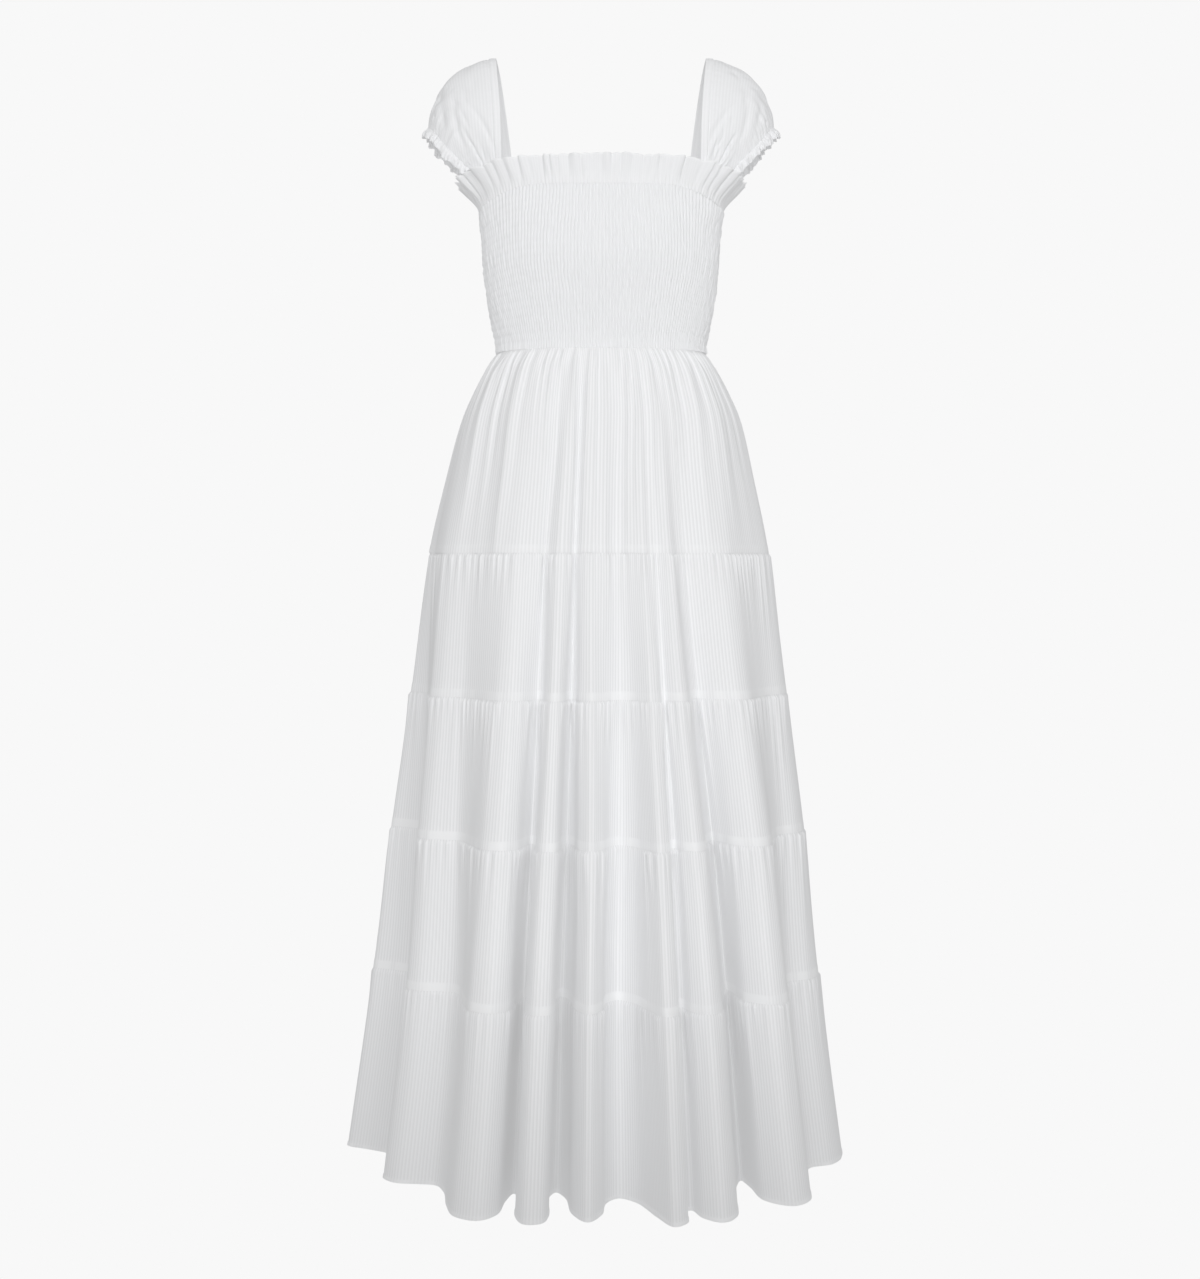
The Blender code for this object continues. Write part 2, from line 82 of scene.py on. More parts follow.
# The skirt's mesh, its fine gathers, and how the band at a seam fades.
SKIRT_COLUMNS = 560
WAIST_PITCH = 0.0082
WAIST_REACH = (0.030, 0.190)
WAIST_RISE = (0.0014, 0.0048)
TIER_PITCH = 0.0080
TIER_REACH = (0.018, 0.050)
TIER_RISE = (0.0012, 0.0040)
TIER_REACH_CHOICE = (1.0, 1.0, 1.7)
GATHER_WIDTH = (0.20, 0.36)
GATHER_SHIFT = 0.35
BAND_FADE = 0.0024
HEM_FADE = 0.0008
HEM_STEPS = 24

# The sleeve's mesh and roots, its crinkles, gathers, puckers and casing, and the frill.
SLEEVE_STATIONS = 180
SLEEVE_STRIPS = 90
SLEEVE_ROOT_DEPTH = 0.008
SLEEVE_INSET = 0.0029
SLEEVE_FRONT_ROOT = (59.0, 76.0)
SLEEVE_BACK_ROOT = (122.0, 105.0)
SLEEVE_CRINKLES = 46
CRINKLE_DEPTH = (0.0006, 0.0015)
ROOT_GATHERS = 11
ROOT_REACH = (0.018, 0.050)
ROOT_RISE = (0.0010, 0.0024)
ELASTIC_PITCH = 0.0078
ELASTIC_REACH = (0.012, 0.040)
ELASTIC_SLANT = 0.25
ELASTIC_RISE = (0.0010, 0.0022)
PUCKER_SHIFT = 0.3
CASING_WIDTH = 0.0095
CASING_PITCH = 0.0052
FRILL_WIDTH = 0.0135
FRILL_WAVE = 0.0060
FRILL_WAVES = 15
FRILL_OUT = 0.36
FRILL_DOWN = 0.86
FRILL_SCALLOP = 0.25
FRILL_SWAY = 0.0024
FRILL_SPAN = (0.095, 0.905)

# The torso and skirt seen from above at each height: half the width, the reach of the front and of
# the back, how far the middle lies to +X, the squareness of the curve, and how full the folds are.
Section = namedtuple("Section", "z half_width front back shift power folds")
SECTIONS = (
    Section(-0.150, 0.1500, 0.0960, 0.0930, 0.0000, 2.60, 0.00),
    Section(-0.190, 0.1500, 0.1000, 0.0950, 0.0000, 2.60, 0.00),
    Section(-0.225, 0.1460, 0.1060, 0.0970, 0.0000, 2.50, 0.00),
    Section(-0.260, 0.1440, 0.1080, 0.0980, 0.0000, 2.45, 0.00),
    Section(-0.300, 0.1395, 0.1020, 0.0950, 0.0000, 2.40, 0.00),
    Section(-0.335, 0.1330, 0.0970, 0.0910, 0.0000, 2.35, 0.00),
    Section(-0.367, 0.1290, 0.0950, 0.0880, 0.0000, 2.30, 0.00),
    Section(-0.388, 0.1420, 0.1040, 0.0970, 0.0000, 2.25, 0.01),
    Section(-0.413, 0.1560, 0.1110, 0.1060, 0.0000, 2.20, 0.02),
    Section(-0.450, 0.1730, 0.1190, 0.1170, 0.0000, 2.15, 0.04),
    Section(-0.513, 0.1900, 0.1270, 0.1280, -0.0015, 2.10, 0.08),
    Section(-0.616, 0.2130, 0.1420, 0.1470, -0.0035, 2.05, 0.14),
    Section(-0.790, 0.2360, 0.1740, 0.1800, -0.0040, 2.00, 0.34),
    Section(-0.961, 0.2590, 0.2140, 0.2160, -0.0055, 2.00, 0.62),
    Section(-1.142, 0.2790, 0.2530, 0.2520, -0.0080, 2.00, 0.88),
    Section(-1.370, 0.3106, 0.2840, 0.2850, -0.0095, 2.00, 1.00),
)

# The hem seen from above, from the left side seam round the front and back again: each bend of a
# fold by the points it passes, and the angle at which that bend hangs from the waist.
Bend = namedtuple("Bend", "name hang points")
BENDS = (
    Bend("left seam", -90.0, ((-0.252, 0.000),)),
    Bend("left side valley", -81.0, ((-0.243, -0.028), (-0.248, -0.062))),
    Bend("left recess", -66.0,
         ((-0.263, -0.090), (-0.247, -0.113), (-0.216, -0.119), (-0.197, -0.124))),
    Bend("left front wall", -52.0, ((-0.185, -0.152), (-0.178, -0.205))),
    Bend("left front", -39.0, ((-0.166, -0.246), (-0.140, -0.261), (-0.120, -0.240))),
    Bend("left front valley", -27.5, ((-0.112, -0.188), (-0.103, -0.157), (-0.094, -0.176))),
    Bend("left of centre", -19.5,
         ((-0.098, -0.240), (-0.086, -0.275), (-0.068, -0.272), (-0.060, -0.240))),
    Bend("left of centre valley", -12.0, ((-0.063, -0.180), (-0.053, -0.152), (-0.041, -0.176))),
    Bend("centre", -3.5, ((-0.032, -0.238), (-0.015, -0.267), (0.000, -0.240))),
    Bend("centre valley", 12.0, ((0.006, -0.194), (0.021, -0.176), (0.042, -0.194))),
    Bend("right of centre", 22.5, ((0.063, -0.245), (0.083, -0.284), (0.098, -0.266))),
    Bend("right of centre valley", 28.5, ((0.095, -0.230), (0.104, -0.222))),
    Bend("right front", 32.5, ((0.117, -0.252), (0.138, -0.268), (0.154, -0.246))),
    Bend("right front valley", 39.0, ((0.157, -0.155), (0.168, -0.104), (0.178, -0.132))),
    Bend("right recess", 55.0, ((0.191, -0.184), (0.222, -0.206), (0.243, -0.184))),
    Bend("right recess valley", 70.0, ((0.246, -0.096), (0.257, -0.050))),
    Bend("right side", 82.0, ((0.284, -0.036),)),
    Bend("right seam", 90.0, ((0.301, 0.000),)),
    Bend("right side, back", 94.0, ((0.298, 0.036),)),
    Bend("right side valley", 104.0, ((0.220, 0.050), (0.208, 0.071))),
    Bend("right back", 118.0, ((0.258, 0.120), (0.256, 0.147), (0.236, 0.170))),
    Bend("right back valley", 130.0, ((0.156, 0.130), (0.138, 0.150))),
    Bend("back, first", 140.0, ((0.172, 0.218), (0.166, 0.240), (0.144, 0.246))),
    Bend("back, first valley", 149.0, ((0.102, 0.196), (0.085, 0.204))),
    Bend("back, second", 160.0, ((0.090, 0.262), (0.074, 0.284), (0.052, 0.274))),
    Bend("back, second valley", 170.0, ((0.024, 0.190), (0.005, 0.190))),
    Bend("back, third", 183.0, ((-0.006, 0.276), (-0.028, 0.296), (-0.050, 0.280))),
    Bend("back, third valley", 194.0, ((-0.056, 0.228), (-0.072, 0.224))),
    Bend("back, fourth", 205.0, ((-0.096, 0.266), (-0.120, 0.270), (-0.138, 0.244))),
    Bend("back, fourth valley", 216.0, ((-0.112, 0.168), (-0.128, 0.154))),
    Bend("left back", 228.0, ((-0.196, 0.220), (-0.228, 0.210), (-0.238, 0.180))),
    Bend("left back valley", 239.0, ((-0.190, 0.122), (-0.202, 0.104))),
    Bend("left back side", 252.0, ((-0.272, 0.126), (-0.291, 0.106))),
    Bend("left back side valley", 260.0, ((-0.284, 0.084),)),
    Bend("left side", 265.0, ((-0.316, 0.070), (-0.322, 0.050), (-0.290, 0.030))),
    Bend("left seam again", 270.0, ((-0.252, 0.000),)),
)

# Soft long creases of the skirt: the angle where each hangs, from which height to
# which, how wide it is in metres and how far it rises, or sinks where it is negative.
CREASE_RADIUS = 0.19
CREASE_TOP_FADE = 0.030
CREASE_FOOT_FADE = 0.160
CREASE_WIDENS = 1.1
Crease = namedtuple("Crease", "angle top foot width rise")
CREASES = (
    Crease(-66.0, -0.372, -0.640, 0.0070, 0.0042),
    Crease(-57.0, -0.376, -0.600, 0.0055, -0.0030),
    Crease(-49.0, -0.372, -0.700, 0.0080, 0.0040),
    Crease(-38.0, -0.380, -0.560, 0.0050, 0.0030),
    Crease(-31.0, -0.372, -0.780, 0.0090, 0.0046),
    Crease(-24.5, -0.376, -0.620, 0.0060, -0.0036),
    Crease(-16.5, -0.372, -0.820, 0.0085, 0.0032),
    Crease(-12.0, -0.390, -0.560, 0.0040, -0.0024),
    Crease(-7.5, -0.378, -1.020, 0.0085, 0.0028),
    Crease(-2.0, -0.384, -0.640, 0.0060, -0.0026),
    Crease(3.0, -0.372, -0.760, 0.0070, 0.0036),
    Crease(10.0, -0.380, -0.700, 0.0090, -0.0044),
    Crease(16.0, -0.374, -0.760, 0.0060, 0.0030),
    Crease(20.5, -0.384, -0.640, 0.0040, 0.0030),
    Crease(25.0, -0.376, -0.760, 0.0060, -0.0030),
    Crease(31.0, -0.372, -0.600, 0.0055, 0.0036),
    Crease(38.5, -0.372, -0.900, 0.0095, 0.0032),
    Crease(45.0, -0.384, -0.600, 0.0050, -0.0030),
    Crease(52.0, -0.376, -0.720, 0.0070, 0.0036),
    Crease(63.0, -0.372, -0.640, 0.0070, 0.0040),
    Crease(74.0, -0.380, -0.560, 0.0060, -0.0030),
    Crease(98.0, -0.374, -0.640, 0.0070, 0.0036),
    Crease(112.0, -0.372, -0.760, 0.0070, -0.0034),
    Crease(121.0, -0.376, -0.820, 0.0080, 0.0042),
    Crease(138.0, -0.372, -0.640, 0.0060, 0.0040),
    Crease(147.0, -0.380, -0.900, 0.0060, 0.0036),
    Crease(158.0, -0.374, -0.620, 0.0060, -0.0034),
    Crease(167.0, -0.372, -1.000, 0.0065, 0.0042),
    Crease(179.0, -0.378, -0.700, 0.0070, 0.0036),
    Crease(188.0, -0.372, -0.820, 0.0060, -0.0030),
    Crease(197.0, -0.374, -0.640, 0.0070, 0.0044),
    Crease(208.0, -0.380, -0.940, 0.0060, 0.0036),
    Crease(221.0, -0.372, -0.700, 0.0070, -0.0034),
    Crease(231.0, -0.376, -0.600, 0.0065, 0.0040),
    Crease(244.0, -0.372, -0.780, 0.0070, 0.0038),
    Crease(259.0, -0.378, -0.620, 0.0060, 0.0034),
)

# The right sleeve from its front root over the shoulder to its back root: the neck edge, the arm
# edge, and how roundly the cloth puffs between them (0 is a straight line, 1 a quarter ellipse).
Cap = namedtuple("Cap", "inner_x inner_y inner_z outer_x outer_y outer_z puff")
SLEEVE_CAPS = (
    Cap(0.1205, -0.0745, -0.1400, 0.1560, -0.0440, -0.1500, 0.15),
    Cap(0.1232, -0.0670, -0.0720, 0.1880, -0.0450, -0.1180, 0.85),
    Cap(0.1285, -0.0360, -0.0180, 0.2070, -0.0270, -0.0940, 1.00),
    Cap(0.1310, 0.0000, 0.0000, 0.2140, 0.0000, -0.0850, 1.00),
    Cap(0.1270, 0.0360, -0.0170, 0.2060, 0.0280, -0.0940, 1.00),
    Cap(0.1195, 0.0670, -0.0710, 0.1860, 0.0450, -0.1180, 0.85),
    Cap(0.1110, 0.0745, -0.1380, 0.1540, 0.0430, -0.1490, 0.15),
)

# Dents and soft creases of the sleeve: how far from its front root to its back root,
# the share of its width from the neck edge, its length, width, slant and depth.
Dent = namedtuple("Dent", "t share length width slant depth")
SLEEVE_DENTS = (
    Dent(0.125, 0.60, 0.045, 0.030, 0.2, 0.0034),
    Dent(0.190, 0.30, 0.080, 0.050, 1.6, 0.0018),
    Dent(0.230, 0.66, 0.060, 0.050, -1.4, 0.0024),
    Dent(0.300, 0.78, 0.040, 0.060, -1.0, 0.0026),
    Dent(0.330, 0.45, 0.070, 0.060, 1.8, 0.0018),
    Dent(0.400, 0.70, 0.050, 0.070, 1.2, 0.0024),
    Dent(0.430, 0.28, 0.060, 0.080, -1.2, 0.0014),
    Dent(0.500, 0.80, 0.040, 0.060, 0.8, 0.0022),
    Dent(0.570, 0.34, 0.060, 0.080, 1.2, 0.0016),
    Dent(0.620, 0.68, 0.050, 0.070, -1.0, 0.0024),
    Dent(0.700, 0.45, 0.070, 0.060, -1.6, 0.0018),
    Dent(0.770, 0.70, 0.060, 0.050, 1.4, 0.0024),
    Dent(0.860, 0.50, 0.045, 0.030, -0.2, 0.0028),
)

# How far the neck ruffle's top leans out, at angles from centre front or centre back to the side.
Lean = namedtuple("Lean", "angle out")
RUFFLE_LEAN = (
    Lean(0.0, 0.004),
    Lean(42.0, 0.006),
    Lean(60.0, 0.015),
    Lean(72.0, 0.023),
    Lean(90.0, 0.021),
)


def smooth(x):
    """Rises smoothly from 0 to 1 as x does."""
    x = np.clip(x, 0.0, 1.0)
    return x * x * (3.0 - 2.0 * x)


def hermite(keys, values, at):
    """A smooth curve through rising keys, whose slope at each key is that of its neighbours."""
    keys = np.asarray(keys, float)
    values = np.asarray(values, float)
    at = np.clip(at, keys[0], keys[-1])
    i = np.clip(np.searchsorted(keys, at, side="left") - 1, 0, len(keys) - 2)
    low = np.maximum(np.arange(len(keys)) - 1, 0)
    high = np.minimum(np.arange(len(keys)) + 1, len(keys) - 1)
    slope = (values[high] - values[low]) / (keys[high] - keys[low])
    span = keys[i + 1] - keys[i]
    t = (at - keys[i]) / span
    start = (1.0 + 2.0 * t) * (1.0 - t) ** 2 * values[i] + t * (1.0 - t) ** 2 * span * slope[i]
    end = t * t * (3.0 - 2.0 * t) * values[i + 1] - t * t * (1.0 - t) * span * slope[i + 1]
    return start + end


def read(rows, key, at, column):
    """Reads a column of a table at keys between its rows, along a smooth curve."""
    order = sorted(rows, key=lambda row: getattr(row, key))
    return hermite([getattr(r, key) for r in order], [getattr(r, column) for r in order], at)


def plain_radius(angle, z):
    """The distance from the body's axis to its plain section, with no folds."""
    across = np.abs(np.sin(np.radians(angle)))
    along = np.cos(np.radians(angle))
    front = read(SECTIONS, "z", z, "front")
    back = read(SECTIONS, "z", z, "back")
    reach = np.where(along > 0, front, back)
    half_width = read(SECTIONS, "z", z, "half_width")
    power = read(SECTIONS, "z", z, "power")
    total = (across / half_width) ** power + (np.abs(along) / reach) ** power
    return total ** (-1.0 / power)


def around(angle, z, radius):
    """Points at angles, heights and distances from the body's axis."""
    shift = read(SECTIONS, "z", z, "shift")
    turn = np.radians(angle)
    x = shift + radius * np.sin(turn)
    y = -radius * np.cos(turn)
    return np.stack(np.broadcast_arrays(x, y, z), axis=-1)


def rounded_line(points, steps):
    """A smooth closed line through points, in steps between each two of them."""
    points = np.asarray(points, float)
    loop = np.vstack((points[-2], points, points[1]))
    gaps = np.sqrt(np.linalg.norm(np.diff(loop, axis=0), axis=1))
    knots = np.concatenate(([0.0], np.cumsum(gaps)))
    line = []
    for i in range(1, len(loop) - 2):
        t = np.linspace(knots[i], knots[i + 1], steps, endpoint=False)[:, None]
        k0, k1, k2, k3 = knots[i - 1:i + 3]
        p0, p1, p2, p3 = loop[i - 1:i + 3]
        a1 = ((k1 - t) * p0 + (t - k0) * p1) / (k1 - k0)
        a2 = ((k2 - t) * p1 + (t - k1) * p2) / (k2 - k1)
        a3 = ((k3 - t) * p2 + (t - k2) * p3) / (k3 - k2)
        b1 = ((k2 - t) * a1 + (t - k0) * a2) / (k2 - k0)
        b2 = ((k3 - t) * a2 + (t - k1) * a3) / (k3 - k1)
        line.append(((k2 - t) * b1 + (t - k1) * b2) / (k2 - k1))
    return np.vstack(line + [points[-1:]])


HEM_LINE = rounded_line([point for bend in BENDS for point in bend.points], HEM_STEPS)
HEM_RUNS = np.concatenate(([0.0], np.cumsum(np.linalg.norm(np.diff(HEM_LINE, axis=0), axis=1))))
HEM_RUN = float(HEM_RUNS[-1])


def bend_runs():
    """How far along the hem the middle of each bend lies."""
    runs = []
    passed = 0
    for bend in BENDS:
        runs.append(HEM_RUNS[int((passed + (len(bend.points) - 1) / 2.0) * HEM_STEPS)])
        passed += len(bend.points)
    return runs


BEND_RUNS = bend_runs()
SEAM_RUN = dict((bend.name, run) for bend, run in zip(BENDS, BEND_RUNS))


def hang_angle(run):
    """The angle at which the cloth at a place along the hem hangs from the waist."""
    return hermite(BEND_RUNS, [bend.hang for bend in BENDS], run)


def skirt_points(run, z):
    """The skirt's outer face, folds and all, with no gathers, at places along the hem and heights."""
    fullness = read(SECTIONS, "z", z, "folds")
    hang = hang_angle(run)
    hem_z = np.full_like(hang, SECTIONS[-1].z)
    plain_hem = around(hang, hem_z, plain_radius(hang, hem_z))
    points = around(hang, z, plain_radius(hang, z))
    hem = [np.interp(run, HEM_RUNS, HEM_LINE[:, axis]) for axis in range(2)]
    for axis in range(2):
        points[..., axis] += (hem[axis] - plain_hem[..., axis]) * fullness
    return points


def lengths(points):
    """Distances along the last row of points, starting at 0."""
    steps = np.linalg.norm(np.diff(points, axis=0), axis=1)
    return np.concatenate(([0.0], np.cumsum(steps)))


def spread_columns(start, end, count):
    """Places along the hem of a panel's columns, even along the hem and round the waist at once."""
    runs = np.linspace(start, end, 6001)
    cost = (runs - start) / 0.020 + (hang_angle(runs) - hang_angle(start)) / 1.2
    return np.interp(np.linspace(0.0, cost[-1], count + 1), cost, runs)


def outward(grid):
    """The outward normal at each point of a grid whose rows run down and columns run to the right."""
    down = np.gradient(grid, axis=0)
    along = np.gradient(grid, axis=1)
    normal = np.cross(down, along)
    size = np.linalg.norm(normal, axis=2, keepdims=True)
    return normal / np.maximum(size, 1e-12)


def cloth(name, node, grid, material, across, down, band=None, thickness=0.0):
    """A thin shell over a grid of points, with its cloth's own width and length as its map."""
    rows, columns = grid.shape[:2]
    index = np.arange(rows * columns).reshape(rows, columns)
    quads = np.stack([index[:-1, :-1], index[1:, :-1], index[1:, 1:], index[:-1, 1:]], axis=-1)
    quads = quads.reshape(-1, 4)
    mesh = bpy.data.meshes.new(name)
    mesh.from_pydata(grid.reshape(-1, 3).tolist(), [], quads.tolist())
    width, length = np.broadcast_arrays(across, down)
    flat = np.stack([width.reshape(-1), length.reshape(-1)], axis=-1)
    layer = mesh.uv_layers.new(name="cloth")
    layer.data.foreach_set("uv", flat[quads.reshape(-1)].astype(np.float32).reshape(-1))
    strength = mesh.attributes.new("band", "FLOAT", "POINT")
    shown = np.zeros((rows, columns)) if band is None else np.broadcast_to(band, (rows, columns))
    strength.data.foreach_set("value", shown.astype(np.float32).reshape(-1))
    mesh.shade_smooth()
    mesh.materials.append(material)
    piece = bpy.data.objects.new(name, mesh)
    bpy.context.scene.collection.objects.link(piece)
    if thickness:
        edge = piece.modifiers.new("edge", "SOLIDIFY")
        edge.thickness = thickness
        edge.offset = -1.0
    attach(piece, BODY)
    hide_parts(node)
    return piece


def node_at(tree, kind, place, **settings):
    """A new shader node at a place in the tree, with its settings."""
    node = tree.nodes.new(kind)
    node.location = place
    for key, value in settings.items():
        setattr(node, key, value)
    return node


def cotton(name, colour, stripe, weave_bump):
    """White cotton: woven stripes along its length, brighter double cloth at seams, fine weave."""
    material = bpy.data.materials.new(name)
    material.use_nodes = True
    tree = material.node_tree
    shader = tree.nodes["Principled BSDF"]
    shader.inputs["Roughness"].default_value = 0.88
    shader.inputs["Specular IOR Level"].default_value = 0.18
    link = tree.links.new

    cloth_map = node_at(tree, "ShaderNodeUVMap", (-1500, 200), uv_map="cloth")
    split = node_at(tree, "ShaderNodeSeparateXYZ", (-1300, 200))
    link(cloth_map.outputs["UV"], split.inputs["Vector"])
    turns = node_at(tree, "ShaderNodeMath", (-1120, 260), operation="MULTIPLY")
    turns.inputs[1].default_value = 2.0 * math.pi / STRIPE_PITCH
    link(split.outputs["X"], turns.inputs[0])
    wave = node_at(tree, "ShaderNodeMath", (-950, 260), operation="SINE")
    link(turns.outputs[0], wave.inputs[0])
    sharp = node_at(tree, "ShaderNodeMapRange", (-780, 260), interpolation_type="SMOOTHSTEP")
    sharp.inputs["From Min"].default_value = -0.35
    sharp.inputs["From Max"].default_value = 0.55
    link(wave.outputs[0], sharp.inputs["Value"])

    stripes = node_at(tree, "ShaderNodeMix", (-560, 260), data_type="RGBA")
    darker = tuple(c * (1.0 - stripe) for c in colour)
    stripes.inputs["A"].default_value = (*darker, 1.0)
    stripes.inputs["B"].default_value = (*colour, 1.0)
    link(sharp.outputs["Result"], stripes.inputs["Factor"])

    band = node_at(tree, "ShaderNodeAttribute", (-780, 20), attribute_name="band")
    doubled = node_at(tree, "ShaderNodeMix", (-340, 200), data_type="RGBA")
    doubled.inputs["B"].default_value = (0.975, 0.982, 0.992, 1.0)
    link(stripes.outputs["Result"], doubled.inputs["A"])
    link(band.outputs["Fac"], doubled.inputs["Factor"])
    link(doubled.outputs["Result"], shader.inputs["Base Color"])

    place = node_at(tree, "ShaderNodeTexCoord", (-1120, -260))
    weave = node_at(tree, "ShaderNodeTexNoise", (-900, -260))
    weave.inputs["Scale"].default_value = 900.0
    weave.inputs["Detail"].default_value = 3.0
    link(place.outputs["Object"], weave.inputs["Vector"])
    relief = node_at(tree, "ShaderNodeMath", (-560, -160), operation="MULTIPLY_ADD")
    relief.inputs[1].default_value = 0.5
    link(sharp.outputs["Result"], relief.inputs[0])
    link(weave.outputs["Fac"], relief.inputs[2])
    bump = node_at(tree, "ShaderNodeBump", (-300, -160))
    bump.inputs["Strength"].default_value = weave_bump
    bump.inputs["Distance"].default_value = 0.0004
    link(relief.outputs[0], bump.inputs["Height"])
    link(bump.outputs["Normal"], shader.inputs["Normal"])
    return material


def row_drops(height):
    """How far each row of a tier lies below its upper seam, closer together near both seams."""
    top = [-SEAM_LAP, 0.0, 0.0015, 0.003, 0.005, 0.0075, 0.011, 0.015, 0.020, 0.026, 0.033, 0.041]
    foot = [0.018, SEAM_ALLOWANCE + 0.001, SEAM_ALLOWANCE - 0.0005,
            0.0075, 0.005, 0.0035, 0.002, 0.0008, 0.0]
    middle = np.arange(0.050, height - 0.022, 0.0085)
    return np.concatenate((top, middle, [height - f for f in foot]))


def wander(at, draw, size):
    """A smooth random run of values along a width, from a few long waves."""
    total = np.zeros_like(at)
    for wave in (0.21, 0.11, 0.062, 0.037):
        total += draw.uniform(0.4, 1.0) * np.sin(2.0 * math.pi * at / wave + draw.uniform(0.0, 6.28))
    return total * size


def ridges(along, drop, places, widths, reaches, rises):
    """Many small ridges that start under a seam, spread and fade as they run down."""
    relief = np.zeros(np.broadcast(along, drop).shape)
    below = np.maximum(drop, 0.0)
    for place, width, reach, rise in zip(places, widths, reaches, rises):
        spread = width * (1.0 + 0.9 * below / reach)
        fade = np.exp(-(below / reach) ** 1.3)
        relief += rise * fade * np.exp(-((along - place) / spread) ** 2)
    return relief


def tier_half(number, side, start, material, draw):
    """Half a tier: its folds, the long creases, and fine gathers under its upper seam."""
    top, foot = SKIRT_SEAMS[number - 1], SKIRT_SEAMS[number]
    drops = row_drops(top - foot)
    seam_run = SEAM_RUN["right seam"]
    first, last = (0.0, seam_run) if side == "front" else (seam_run, HEM_RUN)
    runs = spread_columns(first, last, SKIRT_COLUMNS)
    hang = hang_angle(runs)
    z = top - drops[:, None]
    grid = skirt_points(runs[None, :], z)
    seam = lengths(grid[1])
    width = lengths(grid[-1])
    from_side = np.minimum(hang - start, start + 180.0 - hang)
    at_sides = smooth(from_side / 3.0)

    waist = number == 1
    pitch = WAIST_PITCH if waist else TIER_PITCH
    count = int(seam[-1] / pitch)
    places = (np.arange(count) + 0.5 + draw.uniform(-GATHER_SHIFT, GATHER_SHIFT, count)) * seam[-1] / count
    widths = pitch * draw.uniform(*GATHER_WIDTH, count)
    if waist:
        reaches = draw.uniform(*WAIST_REACH, count)
        rises = draw.uniform(*WAIST_RISE, count)
    else:
        reaches = draw.uniform(*TIER_REACH, count) * draw.choice(TIER_REACH_CHOICE, count)
        rises = draw.uniform(*TIER_RISE, count)
    relief = ridges(seam[None, :], drops[:, None], places, widths, reaches, rises)
    relief *= smooth(drops / (0.009 if waist else 0.005))[:, None]

    for crease in CREASES:
        off = np.radians(hang - crease.angle) * CREASE_RADIUS
        level = smooth((crease.top - z) / CREASE_TOP_FADE) * smooth((z - crease.foot) / CREASE_FOOT_FADE)
        spread = crease.width * (1.0 + CREASE_WIDENS * (crease.top - z))
        relief += crease.rise * level * np.exp(-np.abs(off[None, :] / spread) ** 1.4)

    above = (top - foot) - drops
    if number < len(SKIRT_SEAMS) - 1:
        band = smooth((SEAM_ALLOWANCE + BAND_FADE / 2.0 - above) / BAND_FADE)
        relief += SEAM_RISE * band[:, None]
    else:
        band = smooth((HEM_ROLL + 0.0006 - above) / HEM_FADE)
        relief += 2.0 * SEAM_RISE * band[:, None]
    grid += outward(grid) * (relief * at_sides[None, :])[..., None]
    pressed = smooth(0.5 + 0.8 * np.sin(wander(seam, draw, 2.2)))
    shine = BAND_SHINE[number - 1] * (0.35 + 0.65 * pressed)
    name = f"tier_{number}_{side}_cloth"
    piece = cloth(name, f"tier_{number}_{side}", grid, material,
                  width[None, :], -drops[:, None], band=shine[None, :] * band[:, None])
    return piece


def neck_edge_z(angle):
    """The height of the bodice's top edge, which dips under each arm."""
    off_middle = np.abs((angle + 90.0) % 180.0 - 90.0)
    return NECK_Z - UNDERARM_DIP * smooth((off_middle - DIP_START) / (DIP_END - DIP_START))


